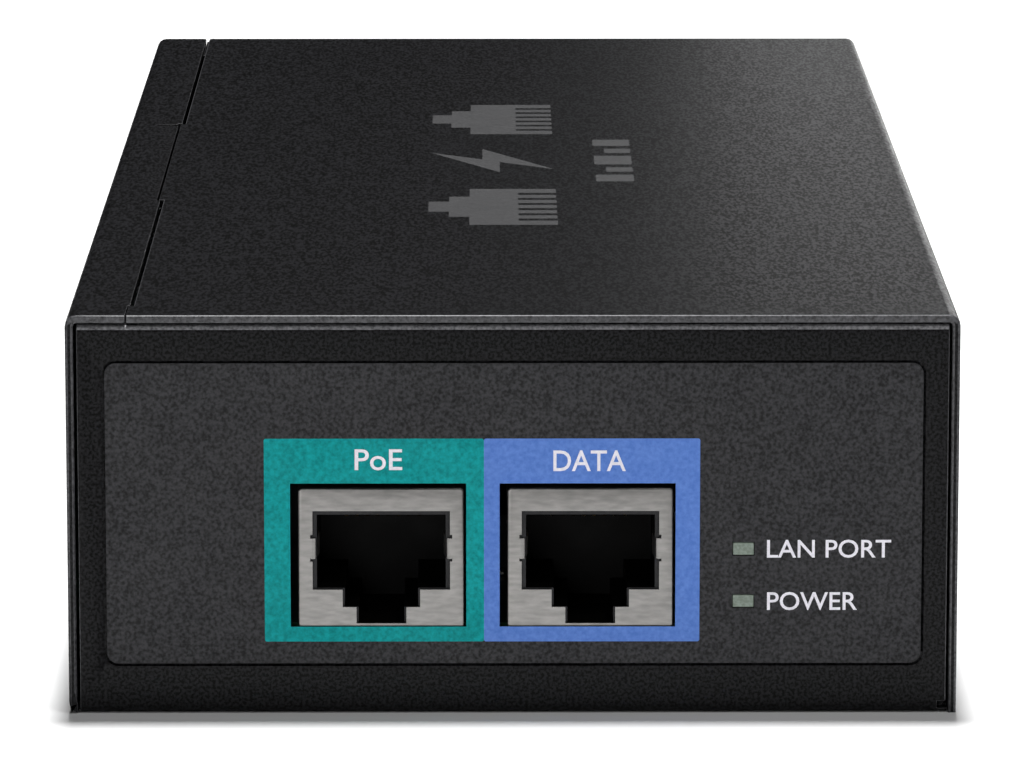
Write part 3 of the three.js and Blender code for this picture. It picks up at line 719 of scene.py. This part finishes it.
@dataclass
class FrontFilm:
    """The grained film on the front with its two port fields and plain legends.

    The fields share one edge in the middle, and each window lies a little left of its jack.
    """

    corner: float = 1.1
    field_left: float = -23.98
    field_middle: float = -2.78
    field_right: float = 18.05
    field_low: float = 7.1
    field_high: float = 27.13
    field_corner: float = 0.2
    ink: float = 0.012
    window_shift: float = -0.28
    window_width: float = 16.98
    window_low: float = 8.58
    window_high: float = 22.72
    lamp_play: float = 0.04
    letter_weight: float = 0.008
    face: float = field(init=False)
    legends: tuple[Legend, ...] = (
        Legend("legend_poe", "PoE", -15.23, -10.64, 24.02, 26.09),
        Legend("legend_data", "DATA", 3.91, 10.89, 23.93, 25.97),
        Legend("legend_lan_port", "LAN PORT", 24.54, 36.53, 15.36, 17.15),
        Legend("legend_power", "POWER", 24.58, 33.29, 10.18, 11.98),
    )

    def build(self) -> None:
        """Builds the film, the fields and the legends."""
        low, high = bounds_mm("front_label")
        self.face = low.y
        middle = (low + high) / 2
        size = high - low
        outline = rounded(middle.x, middle.z, size.x, size.z, self.corner, 8)
        film = piece_from(prism(outline, Plane.XZ, low.y, high.y), "front_film", [GRAIN_FILM])
        self.open_windows(film)
        soften(film, 0.04)
        place(film, "front_overlay", ["front_label"])
        self.port_field("port_field_poe", self.field_left, self.field_middle, GREEN_PRINT, "poe")
        self.port_field("port_field_data", self.field_middle, self.field_right, BLUE_PRINT, "data")
        for legend in self.legends:
            self.print_legend(legend)

    def window(self, port: str) -> bmesh.types.BMesh:
        """The body that cuts one port's window."""
        low, high = bounds_mm(f"{port}_jack_shield")
        middle = (low.x + high.x) / 2 + self.window_shift
        half = self.window_width / 2
        return block(
            (middle - half, self.face - 1, self.window_low), (middle + half, self.face + 1, self.window_high)
        )

    def open_windows(self, film: bpy.types.Object) -> None:
        """Cuts the port windows and the lamp windows."""
        for port in ("poe", "data"):
            cut(film, self.window(port))
        for lamp in ("lan_lamp", "power_lamp"):
            low, high = bounds_mm(lamp)
            play = Vector((self.lamp_play, 0, self.lamp_play))
            low, high = low - play, high + play
            cut(film, block((low.x, self.face - 1, low.z), (high.x, self.face + 1, high.z)))

    def port_field(self, name: str, left: float, right: float, finish: Finish, port: str) -> None:
        """Prints one coloured field around a port.

        Args:
            name: The piece's name.
            left: Its left edge.
            right: Its right edge.
            finish: Its colour.
            port: The port whose window it surrounds.
        """
        outline = rounded(
            (left + right) / 2,
            (self.field_low + self.field_high) / 2,
            right - left,
            self.field_high - self.field_low,
            self.field_corner,
        )
        ink = prism(outline, Plane.XZ, self.face - self.ink, self.face - 0.002)
        printed = piece_from(ink, name, [finish])
        cut(printed, self.window(port))
        place(printed, "front_overlay")

    def print_legend(self, legend: Legend) -> None:
        """Prints one word in plain letters."""
        curve = bpy.data.curves.new(legend.name, "FONT")
        curve.body = legend.words
        curve.extrude = 0.5
        curve.offset = self.letter_weight
        curve.resolution_u = 4
        text = bpy.data.objects.new(legend.name + "_text", curve)
        bpy.context.scene.collection.objects.link(text)
        graph = bpy.context.evaluated_depsgraph_get()
        mesh = bpy.data.meshes.new_from_object(text.evaluated_get(graph))
        bpy.data.objects.remove(text)
        bm = bmesh.new()
        bm.from_mesh(mesh)
        bpy.data.meshes.remove(mesh)
        bmesh.ops.remove_doubles(bm, verts=bm.verts, dist=1e-5)
        self.fit_letters(bm, legend)
        place(piece_from(bm, legend.name, [WHITE_INK]), "front_overlay")

    def fit_letters(self, bm: bmesh.types.BMesh, legend: Legend) -> None:
        """Scales flat letters to the legend's box and stands them on the film."""
        lows = [min(v.co[i] for v in bm.verts) for i in range(3)]
        highs = [max(v.co[i] for v in bm.verts) for i in range(3)]
        front = self.face - 2 * self.ink
        back = self.face - self.ink - 0.002
        for vert in bm.verts:
            u, v, w = ((vert.co[i] - lows[i]) / (highs[i] - lows[i]) for i in range(3))
            x = legend.left + u * (legend.right - legend.left)
            z = legend.low + v * (legend.high - legend.low)
            vert.co = Vector((x, back + w * (front - back), z)) * MM


# ---- Top print ------------------------------------------------------------------------------


@dataclass
class TopPrint:
    """Grey pictograms on the cover: a port, a bolt and a port, with a row of bars beside them."""

    left: float = -8.6
    right: float = 4.9
    port_spans: tuple[Point, ...] = ((-43.0, -20.0), (18.0, 40.0))
    bolt_span: Point = (-14.0, 12.0)
    bar_left: float = 9.3
    bar_right: float = 13.4
    bar_spans: tuple[Point, ...] = ((-15.0, -10.5), (-8.5, -5.5), (-3.5, 2.5), (4.5, 7.5), (9.5, 14.0))
    bar_step: float = 1.2
    ink: float = 0.004
    face: float = field(init=False)

    def build(self) -> None:
        """Prints the pictograms and the bars."""
        self.face = bounds_mm("top_cover")[1].z - PRINT_ROOM
        marks = [self.mark(self.port_outline(), span) for span in self.port_spans]
        marks.append(self.mark(self.bolt_outline(), self.bolt_span))
        for index, (start, end) in enumerate(self.bar_spans):
            left = self.bar_left + (self.bar_step if index % 2 else 0.0)
            outline = [(left, start), (self.bar_right, start), (self.bar_right, end), (left, end)]
            marks.append(self.printed(outline))
        place(piece_from(merged(marks), "top_pictograms", [GREY_INK]), "front_overlay")

    def printed(self, outline: Sequence[Point]) -> bmesh.types.BMesh:
        """A thin film of ink on the cover, from its outline in X and Y."""
        return prism(outline, Plane.XY, self.face - 0.05, self.face + self.ink)

    def mark(self, outline: Sequence[Point], span: Point) -> bmesh.types.BMesh:
        """Prints one pictogram that reads along the case.

        Args:
            outline: Its outline in shares of its length and its height.
            span: Where it starts and ends along the case.

        Returns:
            The film of ink.
        """
        start, end = span
        height = self.right - self.left
        return self.printed([(self.right - v * height, start + u * (end - start)) for u, v in outline])

    def port_outline(self) -> list[Point]:
        """A modular port seen from its mouth: stepped on one side, with contact slits on the other."""
        steps = [(0.0, 0.68), (0.22, 0.68), (0.22, 0.84), (0.36, 0.84), (0.36, 1.0)]
        mirrored = [(1 - u, v) for u, v in reversed(steps)]
        outline = [*steps, *mirrored, (1.0, 0.0)]
        slits, half, deep = 6, 0.028, 0.3
        for index in reversed(range(slits)):
            u = (index + 1) / (slits + 1)
            outline += [(u + half, 0.0), (u + half, deep), (u - half, deep), (u - half, 0.0)]
        return [*outline, (0.0, 0.0)]

    def bolt_outline(self) -> list[Point]:
        """A lightning bolt."""
        return [(0.72, 1.0), (0.2, 0.44), (0.47, 0.44), (0.28, 0.0), (0.82, 0.58), (0.54, 0.58)]


# ---- Jacks ----------------------------------------------------------------------------------


@dataclass
class Jack:
    """A shielded RJ45 jack: plated shield, moulded housing and a row of sprung contacts.

    Widths are from the jack's middle, heights from the shield's foot, depths from its face.
    """

    port: str
    half: float = 6.63
    low: float = 3.6
    high: float = 11.33
    step_half: float = 3.73
    step: float = 1.87
    slot_half: float = 2.4
    slot: float = 0.26
    rim: float = 0.43  # how much narrower the cavity is than the mouth
    cavity: float = 12.8
    sill: float = 0.6
    shell: float = 0.25
    clip: float = 0.3
    bend: float = 0.28
    tongue_low: float = 6.5
    tongue_high: float = 8.75
    tongue_bend: float = 0.46
    tongue_reach: float = 5.0
    slit_deep: float = 0.22  # past the mouth's side
    slit_high: float = 0.34
    contacts: int = 8
    pitch: float = 1.016
    comb_half: float = 4.7  # the hollow over the contacts
    comb_front: float = 2.1
    comb_span: Point = (9.0, 13.0)
    rib_half: float = 0.18
    rib_span: Point = (7.5, 12.9)
    middle: float = field(init=False)
    front: float = field(init=False)
    base: float = field(init=False)
    size: Vector = field(init=False)

    def __post_init__(self) -> None:
        """Takes the jack's place from its packed shield."""
        low, high = bounds_mm(f"{self.port}_jack_shield")
        self.middle = (low.x + high.x) / 2
        self.front = low.y
        self.base = low.z
        self.size = high - low

    def build(self) -> None:
        """Builds shield, housing and contacts."""
        self.build_shield()
        self.build_housing()
        self.build_contacts()

    def mouth(self, inset: float) -> list[Point]:
        """The stepped mouth, latch side down, in the frame's millimetres."""
        half = self.half - inset
        step = self.step_half - inset / 2
        slot = self.slot_half - inset / 2
        low = self.low + inset / 3
        side = [
            (half, self.high - inset), (half, low), (step, low),
            (step, self.step), (slot, self.step), (slot, self.slot),
        ]
        outline = side + [(-x, z) for x, z in reversed(side)]
        return [(self.middle + x, self.base + z) for x, z in outline]

    def build_shield(self) -> None:
        """Folds the shield: open below, with a stepped mouth and two side tongues."""
        left, right = self.middle - self.size.x / 2, self.middle + self.size.x / 2
        top = self.base + self.size.z
        outline = [
            (left, self.base), (right, self.base), (right, top - self.clip),
            (right - self.clip, top), (left + self.clip, top), (left, top - self.clip),
        ]
        back = self.front + self.size.y
        blank = prism(outline, Plane.XZ, self.front, back)
        shield = piece_from(blank, f"{self.port}_shield_formed", [NICKEL])
        self.round_rim(shield)
        wall = self.shell
        low = (left + wall, self.front + wall, self.base - 1)
        cut(shield, block(low, (right - wall, back - wall, top - wall)))
        cut(shield, prism(self.mouth(0), Plane.XZ, self.front - 1, self.front + 1))
        for side in (-1, 1):
            reach = (self.half - 0.1, self.half + self.slit_deep)
            near, far = sorted(self.middle + side * x for x in reach)
            for z in (self.tongue_low - 0.12, self.tongue_high - 0.1):
                foot = self.base + z
                cut(shield, block((near, self.front - 1, foot), (far, self.front + 1, foot + self.slit_high)))
        soften(shield, 0.05)
        apply_modifiers(shield)
        place(shield, "nickel_plate", [f"{self.port}_jack_shield"])
        for side, hand in ((-1, "left"), (1, "right")):
            self.build_tongue(side, hand)

    def round_rim(self, shield: bpy.types.Object) -> None:
        """Rounds the bends around the face of the blank shield, all but the open foot.

        Args:
            shield: The shield before anything is cut from it.
        """

        def share(ends: Sequence[Vector]) -> float:
            on_face = all(point.y < self.front + 0.01 for point in ends)
            at_foot = all(point.z < self.base + 0.01 for point in ends)
            return 1.0 if on_face and not at_foot else 0.0

        bm = bmesh.new()
        bm.from_mesh(shield.data)
        weigh_edges(bm, share)
        bm.to_mesh(shield.data)
        bm.free()
        soften(shield, self.bend, 4).limit_method = "WEIGHT"
        apply_modifiers(shield)

    def build_tongue(self, side: int, hand: str) -> None:
        """Bends one grounding tongue in through the mouth's side.

        Args:
            side: -1 on the left, +1 on the right.
            hand: The word for that side.
        """
        edge = self.middle + side * self.half
        points = []
        for k in range(9):
            angle = k / 8 * math.pi / 2
            u = 0.06 - self.tongue_bend * math.sin(angle)
            points.append((u, 0.01 + self.tongue_bend * (1 - math.cos(angle))))
        path = [*points, (-0.62, self.tongue_reach * 0.55), (-0.4, self.tongue_reach)]
        thick = [(u + 0.14, v) for u, v in reversed(path)]
        outline = [(edge + side * u, self.front + v) for u, v in [*path, *thick]]
        foot, top = self.base + self.tongue_low, self.base + self.tongue_high
        tongue = prism(outline, Plane.XY, foot + 0.12, top - 0.12)
        place(piece_from(tongue, f"{self.port}_tongue_{hand}", [NICKEL]), "nickel_plate")

    def build_housing(self) -> None:
        """Moulds the housing: cavity, contact comb and the latch ledge."""
        node = f"{self.port}_jack_housing"
        low, high = bounds_mm(node)
        body = piece_from(block(tuple(low), tuple(high)), f"{self.port}_housing_moulded", [BLACK_MOULDING])
        sill, back = self.front + self.sill, self.front + self.cavity
        cut(body, block((low.x - 1, low.y - 1, low.z - 1), (high.x + 1, sill, self.base)))
        cut(body, prism(self.mouth(self.rim), Plane.XZ, low.y - 1, back))
        foot, top = (self.base + z for z in self.comb_span)
        corner_low = (self.middle - self.comb_half, self.front + self.comb_front, foot)
        cut(body, block(corner_low, (self.middle + self.comb_half, back, top)))
        soften(body, 0.1)
        apply_modifiers(body)
        body.data.materials.append(LIT_FACE_MOULDING.material())
        # faces at the mouth that turn to the front take the lighter copy: painted light
        for face in body.data.polygons:
            if face.normal.y < -0.7 and face.center.y / MM < self.front + 0.5:
                face.material_index = 1
        place(body, "jack_plastic", [node])
        self.build_comb()

    def build_comb(self) -> None:
        """Adds the ribs that keep the contacts apart at the back of the cavity."""
        back = self.front + self.cavity
        foot, top = (self.base + z for z in self.rib_span)
        ribs = []
        for index in range(self.contacts + 1):
            x = self.middle + (index - self.contacts / 2) * self.pitch
            ribs.append(block((x - self.rib_half, back - 0.08, foot), (x + self.rib_half, back + 0.1, top)))
        place(piece_from(merged(ribs), f"{self.port}_contact_comb", [BLACK_MOULDING]), "jack_plastic")

    def build_contacts(self) -> None:
        """Draws each sprung wire with a rounded knee."""
        for index in range(1, self.contacts + 1):
            node = f"{self.port}_contact_{index}"
            wire = piece_from(loose_copy(node), f"{self.port}_wire_{index}", [GOLD])
            soften(wire, 0.06)
            place(wire, "gold_plate", [node], f"{self.port}_contacts")


# ---- Lamps, inlet, board and supply ---------------------------------------------------------


@dataclass
class SoftCopy:
    """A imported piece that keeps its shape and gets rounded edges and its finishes.

    Attributes:
        node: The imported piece.
        slot: Its material slot.
        finish: The finish of most of it.
        edge: How wide its edges are rounded.
        accent: A second finish for its leads, its base or its ends.
        below: Faces lower than this take the accent.
        above: Faces higher than this take it as well.
        beyond: So do faces further than this from its middle along the case.
        ending: The last word of the piece's name.
        segments: Facets across a rounded edge.
    """

    node: str
    slot: str
    finish: Finish
    edge: float = 0.2
    accent: Finish | None = None
    below: float = 0.0
    above: float = math.inf
    beyond: float = math.inf
    ending: str = "finished"
    segments: int = 2

    def build(self) -> None:
        """Builds the rounded piece with its finishes."""
        body = loose_copy(self.node)
        self.form(body)
        finishes = [self.finish] if self.accent is None else [self.finish, self.accent]
        made = piece_from(body, f"{self.node}_{self.ending}", finishes)
        soften(made, self.edge, self.segments)
        place(made, self.slot, [self.node])

    def form(self, body: bmesh.types.BMesh) -> None:
        """Gives the accented faces their material number."""
        low, high = bounds_mm(self.node)
        middle = (low.y + high.y) / 2
        for face in body.faces:
            centre = face.calc_center_median() / MM
            at_height = centre.z < self.below or centre.z > self.above
            face.material_index = int(at_height or abs(centre.y - middle) > self.beyond)


@dataclass
class CanCapacitor(SoftCopy):
    """A sleeved can whose bare top sits a little below the lip of its sleeve."""

    lip: float = 0.9
    sunk: float = 0.25

    def form(self, body: bmesh.types.BMesh) -> None:
        """Sinks the top inside the sleeve's lip."""
        height = bounds_mm(self.node)[1].z
        top = [face for face in body.faces if face.calc_center_median().z / MM > height - 0.01]
        bmesh.ops.inset_region(body, faces=top, thickness=self.lip * MM, depth=-self.sunk * MM)
        for face in top:
            face.material_index = 1


COPIES = (
    *(
        SoftCopy(f"{lamp}_lamp", "lamp_lens", LAMP_EPOXY, 0.1, ending="lens", segments=3)
        for lamp in ("lan", "power")
    ),
    SoftCopy("lamp_holder", "jack_plastic", BLACK_MOULDING, ending="moulded"),
    SoftCopy("inlet_housing", "jack_plastic", BLACK_MOULDING, 0.25, ending="moulded", segments=3),
    *(
        SoftCopy(f"inlet_pin_{pin}", "nickel_plate", NICKEL, 0.35, ending="plated", segments=3)
        for pin in ("line", "earth", "neutral")
    ),
    SoftCopy("main_board", "circuit_board", RESIST, 0.08),
    SoftCopy("insulating_film", "insulating_film", FILM_SHEET, 0.05),
    *(
        SoftCopy(f"{kind}_{index}", "zinc_steel", BRIGHT_ZINC, 0.15)
        for index in range(1, 5)
        for kind in ("standoff", "board_screw")
    ),
    SoftCopy("fuse", "fuse_glass", FUSE_GLASS, 0.1, TINNED, beyond=4.9),
    SoftCopy("x_capacitor", "film_capacitor_case", YELLOW_CASE, 0.4),
    SoftCopy("line_choke", "enamelled_copper", COPPER, 0.3, BLACK_MOULDING, 10.8),
    SoftCopy("bridge_rectifier", "epoxy_package", EPOXY, 0.2, TINNED, 12.3),
    CanCapacitor("bulk_capacitor", "capacitor_sleeve", SLEEVE, 0.2, CAN_TOP),
    SoftCopy("primary_heat_sink", "heat_sink_aluminium", ALUMINIUM, 0.15),
    SoftCopy("switching_transistor", "epoxy_package", EPOXY, 0.15, TINNED, 15.3, 24.4),
    SoftCopy("transformer_core", "ferrite", FERRITE, 0.3),
    SoftCopy("transformer_winding", "winding_tape", TAPE, 0.3, BLACK_MOULDING, 15.9),
    SoftCopy("secondary_heat_sink", "heat_sink_aluminium", ALUMINIUM, 0.15),
    SoftCopy("output_rectifier", "epoxy_package", EPOXY, 0.15, TINNED, 15.3, 24.4),
    CanCapacitor("output_capacitor_1", "capacitor_sleeve", SLEEVE, 0.15, CAN_TOP),
    CanCapacitor("output_capacitor_2", "capacitor_sleeve", SLEEVE, 0.15, CAN_TOP),
    SoftCopy("lan_magnetics", "epoxy_package", EPOXY, 0.15, TINNED, 8.9),
    SoftCopy("pse_controller", "epoxy_package", EPOXY, 0.08, TINNED, 8.9),
)


# ---- Studio ---------------------------------------------------------------------------------


@dataclass
class SoftLight:
    """A rectangular light: where it stands, what it faces, its sides in millimetres and its power."""

    name: str
    at: Corner
    to: Corner
    length: float
    watts: float
    width: float | None = None

    def build(self) -> None:
        """Adds the light to the scene."""
        lamp = bpy.data.lights.new(self.name, "AREA")
        lamp.shape = "RECTANGLE"
        lamp.size = (self.width or self.length) * MM
        lamp.size_y = self.length * MM
        lamp.energy = self.watts
        made = bpy.data.objects.new(self.name, lamp)
        made.location = Vector(self.at) * MM
        made.rotation_euler = (Vector(self.to) - Vector(self.at)).to_track_quat("-Z", "Y").to_euler()
        bpy.context.scene.collection.objects.link(made)


@dataclass
class Studio:
    """Round white floor, white surround, soft lights and the camera."""

    camera_at: Corner = (-2.68, -733.0, 155.9)
    pitch_deg: float = 10.948
    yaw_deg: float = 0.234
    lens_mm: float = 237.8
    floor_radius: float = 560.0
    surround: float = 0.006
    lights: tuple[SoftLight, ...] = (
        SoftLight("overhead_soft", (0, 72, 1200), (0, 72, 0), 150, 22, 120),
        SoftLight("back_right_soft", (75, 262, 95), (20, 40, 39), 50, 0.027, 90),
        SoftLight("fold_glint", (122, 262, 68), (40, 0, 39), 60, 0.07),
        SoftLight("front_soft", (-250, -1500, 280), (0, -95, 20), 500, 3.1),
        SoftLight("front_overhead", (190, -260, 420), (20, -95, 36), 120, 0.5),
    )

    def build(self) -> None:
        """Builds floor, world, lights and camera."""
        scene = bpy.context.scene
        scene.view_settings.view_transform = "Standard"
        self.build_floor()
        scene.world = self.white_surround()
        for light in self.lights:
            light.build()
        self.build_camera()

    def white_surround(self) -> bpy.types.World:
        """A surround that looks white from any side and gives the case only a faint light."""
        world = bpy.data.worlds.new("studio")
        world.use_nodes = True
        nodes, links = world.node_tree.nodes, world.node_tree.links
        faint = nodes["Background"]
        faint.inputs["Color"].default_value = (1, 1, 1, 1)
        faint.inputs["Strength"].default_value = self.surround
        bright = nodes.new("ShaderNodeBackground")
        bright.inputs["Color"].default_value = (1, 1, 1, 1)
        path = nodes.new("ShaderNodeLightPath")
        mix = nodes.new("ShaderNodeMixShader")
        links.new(path.outputs["Is Camera Ray"], mix.inputs["Fac"])
        links.new(faint.outputs["Background"], mix.inputs[1])
        links.new(bright.outputs["Background"], mix.inputs[2])
        links.new(mix.outputs["Shader"], nodes["World Output"].inputs["Surface"])
        return world

    def build_floor(self) -> None:
        """Lays a round white floor under the case, as wide as the lights keep it white."""
        rim = rounded(0, 0, 2 * self.floor_radius, 2 * self.floor_radius, self.floor_radius, 24)
        floor_finish = Finish("white_sweep", "#f4f4f4", "#fafafa", 40, 0.9, 0.02, relief_mm=0.001)
        floor = piece_from(prism(rim, Plane.XY, -4, -0.02), "floor", [floor_finish])

    def build_camera(self) -> None:
        """Sets the camera before the case, a little above it."""
        lens = bpy.data.cameras.new("camera")
        lens.lens = self.lens_mm
        lens.sensor_width = 36
        lens.clip_start = 0.01
        camera = bpy.data.objects.new("camera", lens)
        camera.location = Vector(self.camera_at) * MM
        camera.rotation_euler = (math.radians(90 - self.pitch_deg), 0, -math.radians(self.yaw_deg))
        bpy.context.scene.collection.objects.link(camera)
        bpy.context.scene.camera = camera


def main() -> None:
    """Builds the injector around its frame."""
    logging.basicConfig(level=logging.INFO, format="%(name)s %(message)s")
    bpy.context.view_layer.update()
    Studio().build()
    for builder in (Case(), TopPrint(), FrontFilm(), Jack("poe"), Jack("data"), *COPIES):
        builder.build()


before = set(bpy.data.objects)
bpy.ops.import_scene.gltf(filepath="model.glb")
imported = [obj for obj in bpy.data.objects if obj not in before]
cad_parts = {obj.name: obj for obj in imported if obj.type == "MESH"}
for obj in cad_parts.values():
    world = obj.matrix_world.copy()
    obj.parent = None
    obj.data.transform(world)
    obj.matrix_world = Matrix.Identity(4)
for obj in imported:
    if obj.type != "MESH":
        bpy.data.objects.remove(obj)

if __name__ == "__main__":
    main()
